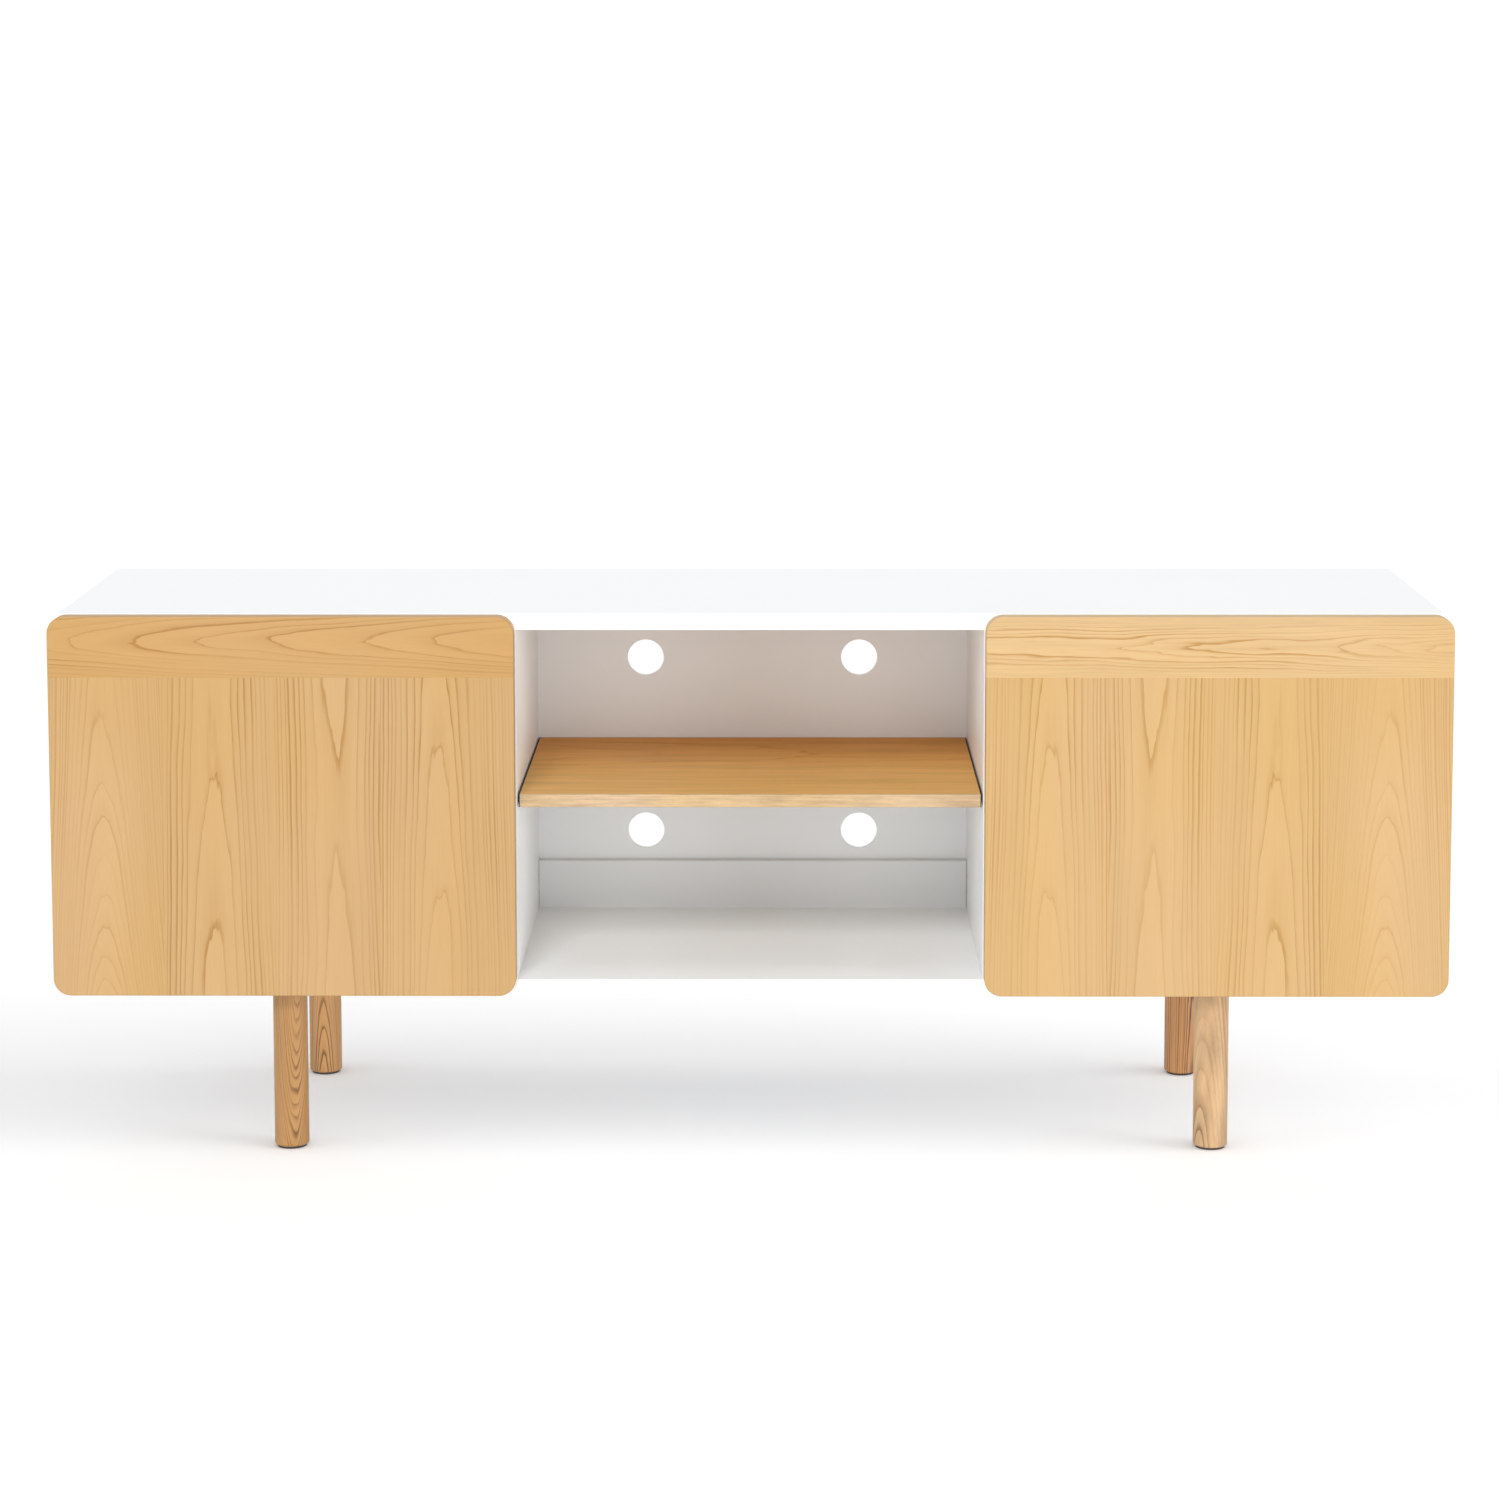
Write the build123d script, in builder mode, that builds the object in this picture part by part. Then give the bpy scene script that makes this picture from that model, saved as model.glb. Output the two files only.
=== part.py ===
from build123d import *
import math
import os

# Media cabinet, in millimetres. X runs along the width, the front faces -Y, and the floor is at Z = 0.
# The origin is on the floor, under the middle of the cabinet.

# Overall size
overall_width = 1600.0
overall_depth = 400.0
overall_height = 630.0

# Carcass
carcass_height = 440.0
top_thickness = 18.0
top_edge_radius = 8.0
panel_thickness = 15.0
bay_width = 535.0
back_thickness = 8.0
rebate_depth = 10.0
rebate_width = 8.0
rebate_gap = 1.0

# Cable holes in the back
cable_hole_radius = 22.5
cable_hole_spacing = 266.0
cable_hole_drop = 110.0
cable_hole_rise = 111.0

# Rear rail in the open bay
rail_height = 60.0
rail_thickness = 12.0
rail_end_gap = 0.5
rail_edge_radius = 1.5

# Shelves
shelf_side_gap = 1.5
shelf_rear_gap = 1.0
centre_shelf_drop = 211.0
centre_shelf_setback = 11.5
lipping_thickness = 3.0
lipping_edge_radius = 0.8
cupboard_shelf_z = 398.0
cupboard_shelf_setback = 22.0
shelf_pin_radius = 2.5
shelf_pin_reach = 8.0
centre_pin_inset = 48.0
cupboard_pin_inset = 62.0

# Doors
door_thickness = 18.0
door_gap = 2.0
door_overhang = 3.0
door_reveal = 1.0
door_corner_radius = 20.0
door_edge_radius = 1.5
band_height = 70.0
tongue_height = 8.0
tongue_thickness = 6.0
tongue_end_inset = 30.0
tongue_gap = 0.2

# Legs
leg_radius = 20.0
leg_x = 535.0
leg_front_inset = 30.0
leg_spacing_y = 312.0
leg_foot_radius = 2.5
glide_radius = 17.0
glide_height = 2.5
plate_radius = 28.0
plate_thickness = 3.0
boss_radius = 7.0
boss_height = 7.0
leg_bolt_radius = 4.0
leg_bolt_length = 36.0
plate_screw_circle = 24.0
plate_screw_angles = (-90, 30, 150)

# Hinges, laid out in plan from the outer front corner of the side panel: inwards, then backwards
hinge_low_inset = 85.0
hinge_high_inset = 105.0
arm_pivot = (34.0, 1.1)
cup_pivot_from_edge = 9.7
cup_pivot_depth = 3.0
cup_rim_from_edge = 3.0
cup_radius = 17.5
cup_wall = 1.0
cup_depth = 12.0
ear_thickness = 1.0
ear_width = 20.0
ear_inner = 12.0
ear_outer = 28.0
ear_screw_offset = 5.5
ear_screw_rise = 22.5
pin_radius = 1.2
pin_clearance = 0.05
cup_pin_half = 11.2
cup_boss_inner = 9.0
cup_boss_half = 2.4
arm_pin_half = 7.7
link_half_thickness = 2.2
link_half_width = 4.5
cheek_inner = 5.2
cheek_thickness = 2.0
cheek_eye_radius = 2.6
arm_front = 12.0
arm_rear = 58.0
arm_height = 19.0
arm_web = 2.0
arm_web_front = 26.0
hinge_plate_thickness = 2.2
hinge_plate_front = 24.0
hinge_plate_length = 26.0
hinge_plate_half_height = 24.0
hinge_plate_screw_back = 37.0
hinge_plate_screw_rise = 16.0

# Push latches
latch_z = 450.0
latch_width = 14.0
latch_height = 20.0
latch_length = 60.0
latch_edge_radius = 1.2
latch_setback = 1.0
latch_flange = 2.0
latch_flange_half_height = 18.0
latch_screw_rise = 14.0
latch_screw_back = 30.0
plunger_radius = 4.0
plunger_clearance = 0.08
plunger_length = 31.0
plunger_tip_radius = 0.8
plunger_bore_depth = 45.0
plunger_gap = 0.2
strike_radius = 7.0
strike_thickness = 0.8
bumper_radius = 4.0
bumper_thickness = 1.8
bumper_inset = 40.0

# Panel fittings
cam_rows = (-130.0, 140.0)
dowel_rows = (-80.0, 90.0)
cam_reach = 24.0
cam_radius = 7.5
cam_height = 12.0
cam_recess = 0.4
cam_slot_width = 1.2
cam_slot_depth = 2.0
cam_bolt_radius = 3.0
cam_bolt_thread = 11.0
cam_bolt_overrun = 3.0
cam_channel_radius = 3.6
dowel_radius = 4.0
dowel_length = 28.0
dowel_short_end = 10.0
rail_dowel_radius = 3.0
rail_dowel_levels = (20.0, 40.0)
rail_dowel_end = 9.0

# Screws: shank radius, head radius, head height, length
small_screw = (1.7, 3.4, 1.8, 13.0)
back_screw = (1.5, 3.0, 1.5, 20.0)
back_screw_rises = (110.0, 230.0, 350.0)
back_screw_row_x = (120.0, 410.0, 690.0)
drive_slot = 0.8
drive_depth = 0.9
fit_gap = 0.06
bore_overrun = 1.0

# Worked out from the sizes above
half_carcass = overall_width / 2 - door_overhang
front_y = -overall_depth / 2 + door_thickness + door_gap
rear_y = overall_depth / 2
base_z = overall_height - carcass_height
floor_z = base_z + panel_thickness
ceiling_z = overall_height - top_thickness
side_inner = half_carcass - panel_thickness
divider_inner = bay_width / 2
divider_outer = divider_inner + panel_thickness
divider_middle = divider_inner + panel_thickness / 2
side_middle = side_inner + panel_thickness / 2
back_front_y = rear_y - rebate_depth
door_back_y = front_y - door_gap
door_inner = divider_inner + door_reveal
door_width = overall_width / 2 - door_inner
band_z = overall_height - band_height
shelf_top_z = overall_height - centre_shelf_drop
shelf_bottom_z = shelf_top_z - panel_thickness
shelf_front_y = front_y + centre_shelf_setback
shelf_rear_y = back_front_y - shelf_rear_gap
cupboard_shelf_front_y = front_y + cupboard_shelf_setback
rail_front_y = back_front_y - rail_thickness
leg_rows = (front_y + leg_front_inset, front_y + leg_front_inset + leg_spacing_y)
leg_top_z = base_z - plate_thickness
leg_bolt_low = base_z + boss_height - leg_bolt_length
hinge_levels = (base_z + hinge_low_inset, overall_height - hinge_high_inset)
cup_centre = cup_rim_from_edge + cup_radius - door_overhang
cup_pivot = (cup_pivot_from_edge - door_overhang, -door_gap - cup_pivot_depth)
arm_seat = panel_thickness + hinge_plate_thickness
latch_middle = divider_outer + latch_width / 2
latch_front_y = front_y + latch_setback
plunger_tip_y = door_back_y + strike_thickness + plunger_gap
sides = ((-1, "left"), (1, "right"))
up, down = (0, 0, 1), (0, 0, -1)
forwards, backwards = (0, -1, 0), (0, 1, 0)

os.makedirs("parts", exist_ok=True)


def keep(builder, name):
    builder.part.label = name
    export_step(builder.part, f"parts/{name}.step")


def span(x, y, z, mode=Mode.ADD):
    """A block between two ends along each axis, given in either order."""
    low = Vector(min(x), min(y), min(z))
    size = Vector(max(x), max(y), max(z)) - low
    with Locations(low):
        Box(size.X, size.Y, size.Z, align=(Align.MIN, Align.MIN, Align.MIN), mode=mode)


def rod(point, direction, radius, length, mode=Mode.ADD):
    """A round bar that starts at a point and runs along a direction."""
    with Locations(Plane(origin=point, z_dir=direction)):
        Cylinder(radius, length, align=(Align.CENTER, Align.CENTER, Align.MIN), mode=mode)


def facing(points, outward):
    """A plane at each point, all looking the same way."""
    return [Plane(origin=point, z_dir=outward) for point in points]


def drill(places, radius, depth):
    """Round holes from a face inwards. Each place is a plane that looks out of the face."""
    if places:
        with Locations(*places):
            Hole(radius, depth=depth)


def screw_shape(sizes, room=0.0):
    """A countersunk screw, its head level with the origin and its shank below, with room all round."""
    shank, head, head_height, length = sizes
    with BuildPart() as shape:
        with BuildSketch(Plane.XZ):
            with BuildLine():
                Polyline(
                    (0, 0),
                    (head + room, 0),
                    (shank + room, -head_height - room),
                    (shank + room, -length - room),
                    (0, -length - room),
                    close=True,
                )
            make_face()
        revolve(axis=Axis.Z)
    return shape.part


def screw_set(places, sizes):
    """Screws with a crossed recess, one at each plane."""
    with BuildPart() as shape:
        add(screw_shape(sizes))
        head = sizes[1]
        for size in ((head, drive_slot), (drive_slot, head)):
            Box(*size, drive_depth, align=(Align.CENTER, Align.CENTER, Align.MAX), mode=Mode.SUBTRACT)
    with BuildPart() as screws:
        with Locations(*places):
            add(shape.part)
    return screws


def screw_holes(places, sizes):
    """The countersunk holes that a set of screws sits in."""
    if places:
        with Locations(*places):
            add(screw_shape(sizes, fit_gap), mode=Mode.SUBTRACT)


def plan(side, inwards, backwards, z):
    """A hinge point on one side of the cabinet."""
    return (side * (half_carcass - inwards), front_y + backwards, z)


# Panel joints: the point where two panels meet, the way from the threaded panel into the other one,
# and the way out of the face that shows the cam disc
def uprights():
    """Each upright panel: its middle in X and the way that its cupboard face looks."""
    for side, _ in sides:
        yield side * side_middle, (-side, 0, 0)
        yield side * divider_middle, (side, 0, 0)


def joints_at(rows):
    found = []
    for y in rows:
        for middle, face in uprights():
            found.append((Vector(middle, y, ceiling_z), Vector(down), Vector(face)))
        for side, _ in sides:
            at_divider = Vector(side * divider_middle, y, floor_z)
            at_side = Vector(side * side_inner, y, base_z + panel_thickness / 2)
            found.append((at_divider, Vector(up), Vector(side, 0, 0)))
            found.append((at_side, Vector(-side, 0, 0), Vector(down)))
    return found


cam_joints = joints_at(cam_rows)
dowel_joints = joints_at(dowel_rows)


def cam_seat(point, way, face):
    """The middle of a cam disc's outer end, on the face that shows it."""
    return point + way * cam_reach + face * (panel_thickness / 2)


def bore_panel_joints(x, y, z):
    """Bolt, cam and dowel bores in the panel that lies within these limits."""
    def inside(p):
        limits = zip((p.X, p.Y, p.Z), (x, y, z))
        return all(min(pair) < value < max(pair) for value, pair in limits)

    def threaded(joints):
        return [Plane(origin=point, z_dir=way) for point, way, _ in joints if inside(point - way)]

    def entered(joints):
        return [Plane(origin=point, z_dir=-way) for point, way, _ in joints if inside(point + way)]

    seats = [
        Plane(origin=cam_seat(point, way, face), z_dir=face)
        for point, way, face in cam_joints
        if inside(point + way)
    ]
    drill(threaded(cam_joints), cam_bolt_radius + fit_gap, cam_bolt_thread + fit_gap)
    drill(entered(cam_joints), cam_channel_radius + fit_gap, cam_reach)
    drill(seats, cam_radius + fit_gap, cam_height + cam_recess)
    drill(threaded(dowel_joints), dowel_radius + fit_gap, dowel_short_end + fit_gap)
    drill(entered(dowel_joints), dowel_radius + fit_gap, dowel_length - dowel_short_end + fit_gap)


# Screws through the back, into the rear edges of the panels
back_screw_columns = (side_inner + rebate_width / 2, divider_middle)
back_screw_row_z = (floor_z - rebate_width / 2, ceiling_z + rebate_width / 2)
back_screw_face_y = back_front_y + back_thickness
back_screw_points = [
    (side * column, back_screw_face_y, base_z + rise)
    for side, _ in sides
    for column in back_screw_columns
    for rise in back_screw_rises
] + [
    (side * x, back_screw_face_y, z)
    for side, _ in sides
    for x in back_screw_row_x
    for z in back_screw_row_z
]


def back_screw_holes(x, z):
    """The screw bores that fall within a panel's limits, seen from behind."""
    within = [p for p in back_screw_points if min(x) < p[0] < max(x) and min(z) < p[2] < max(z)]
    screw_holes(facing(within, backwards), back_screw)


# Top panel, with its front and side edges rounded over
with BuildPart() as top_panel:
    with BuildSketch(Plane.XY.offset(ceiling_z)):
        with Locations((0, front_y)):
            Rectangle(2 * half_carcass, rear_y - front_y, align=(Align.CENTER, Align.MIN))
    extrude(amount=top_thickness)
    upper_edges = top_panel.faces().sort_by(Axis.Z)[-1].edges().sort_by(Axis.Y)
    fillet(upper_edges[:-1], top_edge_radius)
    rebate_x = side_inner + rebate_width
    span((-rebate_x, rebate_x), (back_front_y, rear_y), (ceiling_z, ceiling_z + rebate_width), Mode.SUBTRACT)
    bore_panel_joints((-half_carcass, half_carcass), (front_y, rear_y), (ceiling_z, overall_height))
    back_screw_holes((-half_carcass, half_carcass), (ceiling_z, overall_height))
keep(top_panel, "top_panel")

# Where the legs stand, and the screws that hold their plates
leg_points = [(side * leg_x, y) for side, _ in sides for y in leg_rows]
plate_screw_points = [
    (
        x + plate_screw_circle * math.cos(math.radians(angle)),
        y + plate_screw_circle * math.sin(math.radians(angle)),
        leg_top_z,
    )
    for x, y in leg_points
    for angle in plate_screw_angles
]

# Bottom panel, between the sides
with BuildPart() as bottom_panel:
    with BuildSketch(Plane.XY.offset(base_z)):
        with Locations((0, front_y)):
            Rectangle(2 * side_inner, rear_y - front_y, align=(Align.CENTER, Align.MIN))
    extrude(amount=panel_thickness)
    span((-side_inner, side_inner), (back_front_y, rear_y), (floor_z - rebate_width, floor_z), Mode.SUBTRACT)
    bore_panel_joints((-side_inner, side_inner), (front_y, rear_y), (base_z, floor_z))
    back_screw_holes((-side_inner, side_inner), (base_z, floor_z))
    boss_mouths = facing([(x, y, base_z) for x, y in leg_points], down)
    drill(boss_mouths, boss_radius + fit_gap, boss_height + bore_overrun)
    screw_holes(facing(plate_screw_points, down), small_screw)
keep(bottom_panel, "bottom_panel")

# Side panels, each with its rear rebate, hinge screw bores and shelf pin bores
cupboard_pin_rows = (cupboard_shelf_front_y + cupboard_pin_inset, shelf_rear_y - cupboard_pin_inset)
cupboard_pin_z = cupboard_shelf_z - shelf_pin_radius - fit_gap


def hinge_plate_screw_places(side):
    """Where the mounting plates are screwed to a side panel."""
    points = [
        plan(side, arm_seat, hinge_plate_screw_back, level + rise)
        for level in hinge_levels
        for rise in (-hinge_plate_screw_rise, hinge_plate_screw_rise)
    ]
    return facing(points, (-side, 0, 0))


for side, side_name in sides:
    inner, outer = side * side_inner, side * half_carcass
    inwards = (-side, 0, 0)
    with BuildPart() as side_panel:
        span((inner, outer), (front_y, rear_y), (base_z, ceiling_z))
        span(
            (inner, inner + side * rebate_width), (back_front_y, rear_y),
            (floor_z - rebate_width, ceiling_z), Mode.SUBTRACT,
        )
        bore_panel_joints((inner, outer), (front_y, rear_y), (base_z, ceiling_z))
        back_screw_holes((inner, outer), (floor_z, ceiling_z))
        screw_holes(hinge_plate_screw_places(side), small_screw)
        pin_points = [(inner, y, cupboard_pin_z) for y in cupboard_pin_rows]
        drill(facing(pin_points, inwards), shelf_pin_radius + fit_gap, shelf_pin_reach)
    keep(side_panel, f"{side_name}_side_panel")

# Dividers beside the open bay
centre_pin_rows = (shelf_front_y + centre_pin_inset, shelf_rear_y - centre_pin_inset)
centre_pin_z = shelf_bottom_z - shelf_pin_radius - fit_gap
rail_middle_y = (rail_front_y + back_front_y) / 2
latch_screw_y = latch_front_y + latch_screw_back


def latch_screw_places(side):
    """Where a latch is screwed to a divider."""
    head_x = side * (divider_outer + latch_flange)
    rises = (-latch_screw_rise, latch_screw_rise)
    return facing([(head_x, latch_screw_y, latch_z + rise) for rise in rises], (side, 0, 0))


for side, side_name in sides:
    bay_face, cupboard_face = side * divider_inner, side * divider_outer
    to_bay, to_cupboard = (-side, 0, 0), (side, 0, 0)
    with BuildPart() as divider:
        span((bay_face, cupboard_face), (front_y, back_front_y), (floor_z, ceiling_z))
        bore_panel_joints((bay_face, cupboard_face), (front_y, rear_y), (floor_z, ceiling_z))
        back_screw_holes((bay_face, cupboard_face), (floor_z, ceiling_z))
        bay_pins = facing([(bay_face, y, centre_pin_z) for y in centre_pin_rows], to_bay)
        cupboard_pins = facing([(cupboard_face, y, cupboard_pin_z) for y in cupboard_pin_rows], to_cupboard)
        drill(bay_pins + cupboard_pins, shelf_pin_radius + fit_gap, shelf_pin_reach)
        rail_ends = [(bay_face, rail_middle_y, floor_z + level) for level in rail_dowel_levels]
        drill(facing(rail_ends, to_bay), rail_dowel_radius + fit_gap, rail_dowel_end + fit_gap)
        screw_holes(latch_screw_places(side), small_screw)
    keep(divider, f"{side_name}_divider")

# Back panel with four cable holes
back_half = side_inner + rebate_width - rebate_gap
back_low = floor_z - rebate_width + rebate_gap
back_high = ceiling_z + rebate_width - rebate_gap
with BuildPart() as back_panel:
    with BuildSketch(Plane.XZ.offset(-back_front_y)):
        with Locations((0, back_low)):
            Rectangle(2 * back_half, back_high - back_low, align=(Align.CENTER, Align.MIN))
        for height in (base_z + cable_hole_rise, overall_height - cable_hole_drop):
            with Locations((0, height)):
                with GridLocations(cable_hole_spacing, 0, 2, 1):
                    Circle(cable_hole_radius, mode=Mode.SUBTRACT)
    extrude(amount=-back_thickness)
    back_screw_holes((-back_half, back_half), (back_low, back_high))
keep(back_panel, "back_panel")

keep(screw_set(facing(back_screw_points, backwards), back_screw), "back_panel_screws")

# Rear rail across the open bay
rail_half = divider_inner - rail_end_gap
with BuildPart() as rear_rail:
    span((-rail_half, rail_half), (rail_front_y, back_front_y), (floor_z, floor_z + rail_height))
    upper_front_edge = rear_rail.edges().filter_by(Axis.X).group_by(Axis.Z)[-1].sort_by(Axis.Y)[0]
    fillet(upper_front_edge, rail_edge_radius)
    for side, _ in sides:
        ends = [(side * rail_half, rail_middle_y, floor_z + level) for level in rail_dowel_levels]
        drill(facing(ends, (side, 0, 0)), rail_dowel_radius + fit_gap, dowel_length - rail_dowel_end)
keep(rear_rail, "rear_rail")

# Shelf in the open bay, with a solid lipping along its front edge
shelf_half = divider_inner - shelf_side_gap
with BuildPart() as centre_shelf:
    shelf_y = (shelf_front_y + lipping_thickness, shelf_rear_y)
    span((-shelf_half, shelf_half), shelf_y, (shelf_bottom_z, shelf_top_z))
keep(centre_shelf, "centre_shelf")

with BuildPart() as centre_shelf_lipping:
    lipping_y = (shelf_front_y, shelf_front_y + lipping_thickness)
    span((-shelf_half, shelf_half), lipping_y, (shelf_bottom_z, shelf_top_z))
    fillet(centre_shelf_lipping.edges().filter_by(Axis.X).group_by(Axis.Y)[0], lipping_edge_radius)
keep(centre_shelf_lipping, "centre_shelf_lipping")

# Shelves behind the doors
for side, side_name in sides:
    with BuildPart() as cupboard_shelf:
        shelf_x = (side * (divider_outer + shelf_side_gap), side * (side_inner - shelf_side_gap))
        shelf_z = (cupboard_shelf_z, cupboard_shelf_z + panel_thickness)
        span(shelf_x, (cupboard_shelf_front_y, shelf_rear_y), shelf_z)
    keep(cupboard_shelf, f"{side_name}_cupboard_shelf")

# Shelf pins, half in the panel and half under the shelf
with BuildPart() as centre_shelf_pins:
    for side, _ in sides:
        for y in centre_pin_rows:
            start = (side * (divider_inner + shelf_pin_reach - fit_gap), y, centre_pin_z)
            rod(start, (-side, 0, 0), shelf_pin_radius, 2 * shelf_pin_reach)
keep(centre_shelf_pins, "centre_shelf_pins")

with BuildPart() as cupboard_shelf_pins:
    for side, _ in sides:
        for y in cupboard_pin_rows:
            from_divider = (side * (divider_outer - shelf_pin_reach + fit_gap), y, cupboard_pin_z)
            from_side = (side * (side_inner + shelf_pin_reach - fit_gap), y, cupboard_pin_z)
            rod(from_divider, (side, 0, 0), shelf_pin_radius, 2 * shelf_pin_reach)
            rod(from_side, (-side, 0, 0), shelf_pin_radius, 2 * shelf_pin_reach)
keep(cupboard_shelf_pins, "cupboard_shelf_pins")

# Dowels and cam fittings that join the panels
with BuildPart() as dowels:
    for point, way, _ in dowel_joints:
        rod(point - way * dowel_short_end, way, dowel_radius, dowel_length)
    for side, _ in sides:
        for level in rail_dowel_levels:
            start = (side * (divider_inner + rail_dowel_end), rail_middle_y, floor_z + level)
            rod(start, (-side, 0, 0), rail_dowel_radius, dowel_length - fit_gap - rail_end_gap)
keep(dowels, "dowels")

with BuildPart() as cam_bolts:
    for point, way, _ in cam_joints:
        bolt_length = cam_bolt_thread + cam_reach + cam_bolt_overrun
        rod(point - way * cam_bolt_thread, way, cam_bolt_radius, bolt_length)
keep(cam_bolts, "cam_bolts")

with BuildPart() as cam_discs:
    for point, way, face in cam_joints:
        seat = cam_seat(point, way, face) - face * cam_recess
        rod(seat, -face, cam_radius, cam_height)
        channel_length = cam_reach + cam_bolt_overrun + bore_overrun
        rod(point, way, cam_channel_radius, channel_length, Mode.SUBTRACT)
        with Locations(Plane(origin=seat, z_dir=face)):
            for size in ((cam_radius, cam_slot_width), (cam_slot_width, cam_radius)):
                align = (Align.CENTER, Align.CENTER, Align.MAX)
                Box(*size, cam_slot_depth, align=align, mode=Mode.SUBTRACT)
keep(cam_discs, "cam_discs")

# Legs: a round leg hung from a steel plate by one bolt, on a nylon glide
for side, side_name in sides:
    for y, row_name in zip(leg_rows, ("front", "rear")):
        with BuildPart() as leg:
            with BuildSketch(Plane.XY.offset(glide_height)):
                with Locations((side * leg_x, y)):
                    Circle(leg_radius)
            extrude(amount=leg_top_z - glide_height)
            fillet(leg.edges().filter_by(GeomType.CIRCLE).sort_by(Axis.Z)[0], leg_foot_radius)
            bolt_mouth = facing([(side * leg_x, y, leg_top_z)], up)
            drill(bolt_mouth, leg_bolt_radius + fit_gap, leg_top_z - leg_bolt_low + bore_overrun)
        keep(leg, f"{side_name}_{row_name}_leg")

with BuildPart() as leg_plates:
    for x, y in leg_points:
        rod((x, y, leg_top_z), up, plate_radius, plate_thickness)
        rod((x, y, base_z), up, boss_radius, boss_height)
    bolt_mouths = facing([(x, y, leg_top_z) for x, y in leg_points], down)
    drill(bolt_mouths, leg_bolt_radius + fit_gap, plate_thickness + boss_height)
    screw_holes(facing(plate_screw_points, down), small_screw)
keep(leg_plates, "leg_plates")

keep(screw_set(facing(plate_screw_points, down), small_screw), "leg_plate_screws")

with BuildPart() as leg_bolts:
    for x, y in leg_points:
        rod((x, y, leg_bolt_low), up, leg_bolt_radius, leg_bolt_length)
keep(leg_bolts, "leg_bolts")

with BuildPart() as foot_glides:
    for x, y in leg_points:
        rod((x, y, 0), up, glide_radius, glide_height)
keep(foot_glides, "foot_glides")


def door_outline_edges(builder, seam):
    """The edges round a door's front face, apart from the seam between its two pieces."""
    edges = builder.faces().sort_by(Axis.Y)[0].edges()
    return edges.filter_by(lambda edge: abs(edge.center().Z - seam) > fit_gap)


def cup_screw_places(side):
    """Where the hinge cups are screwed to a door."""
    points = [
        plan(side, cup_centre + ear_screw_offset, ear_thickness - door_gap, level + rise)
        for level in hinge_levels
        for rise in (-ear_screw_rise, ear_screw_rise)
    ]
    return facing(points, backwards)


# Doors: an upright panel, and a top rail on a tongue, both cut from one rounded outline
door_middle_y = door_back_y - door_thickness / 2
for side, side_name in sides:
    door_middle = side * (door_inner + door_width / 2)
    door_middle_z = base_z + carcass_height / 2
    door_plane = Plane.XZ.offset(-door_back_y)
    tongue_half = door_width / 2 - tongue_end_inset
    tongue_x = (door_middle - tongue_half, door_middle + tongue_half)
    tongue_y = (door_middle_y - tongue_thickness / 2, door_middle_y + tongue_thickness / 2)

    with BuildPart() as door_panel:
        with BuildSketch(door_plane):
            with Locations((door_middle, door_middle_z)):
                RectangleRounded(door_width, carcass_height, door_corner_radius)
            with Locations((door_middle, band_z)):
                Rectangle(
                    door_width, carcass_height, align=(Align.CENTER, Align.MIN), mode=Mode.SUBTRACT
                )
        extrude(amount=door_thickness)
        fillet(door_outline_edges(door_panel, band_z), door_edge_radius)
        span(tongue_x, tongue_y, (band_z, band_z + tongue_height))
        cup_mouths = [plan(side, cup_centre, -door_gap, level) for level in hinge_levels]
        drill(facing(cup_mouths, backwards), cup_radius + fit_gap, cup_depth + fit_gap)
        screw_holes(cup_screw_places(side), small_screw)
    keep(door_panel, f"{side_name}_door_panel")

    with BuildPart() as door_top_rail:
        with BuildSketch(door_plane):
            with Locations((door_middle, door_middle_z)):
                RectangleRounded(door_width, carcass_height, door_corner_radius)
            with Locations((door_middle, band_z)):
                Rectangle(
                    door_width, carcass_height, align=(Align.CENTER, Align.MAX), mode=Mode.SUBTRACT
                )
        extrude(amount=door_thickness)
        fillet(door_outline_edges(door_top_rail, band_z), door_edge_radius)
        groove_x = (tongue_x[0] - tongue_gap, tongue_x[1] + tongue_gap)
        groove_y = (tongue_y[0] - fit_gap, tongue_y[1] + fit_gap)
        span(groove_x, groove_y, (band_z, band_z + tongue_height + tongue_gap), Mode.SUBTRACT)
    keep(door_top_rail, f"{side_name}_door_top_rail")

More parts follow.
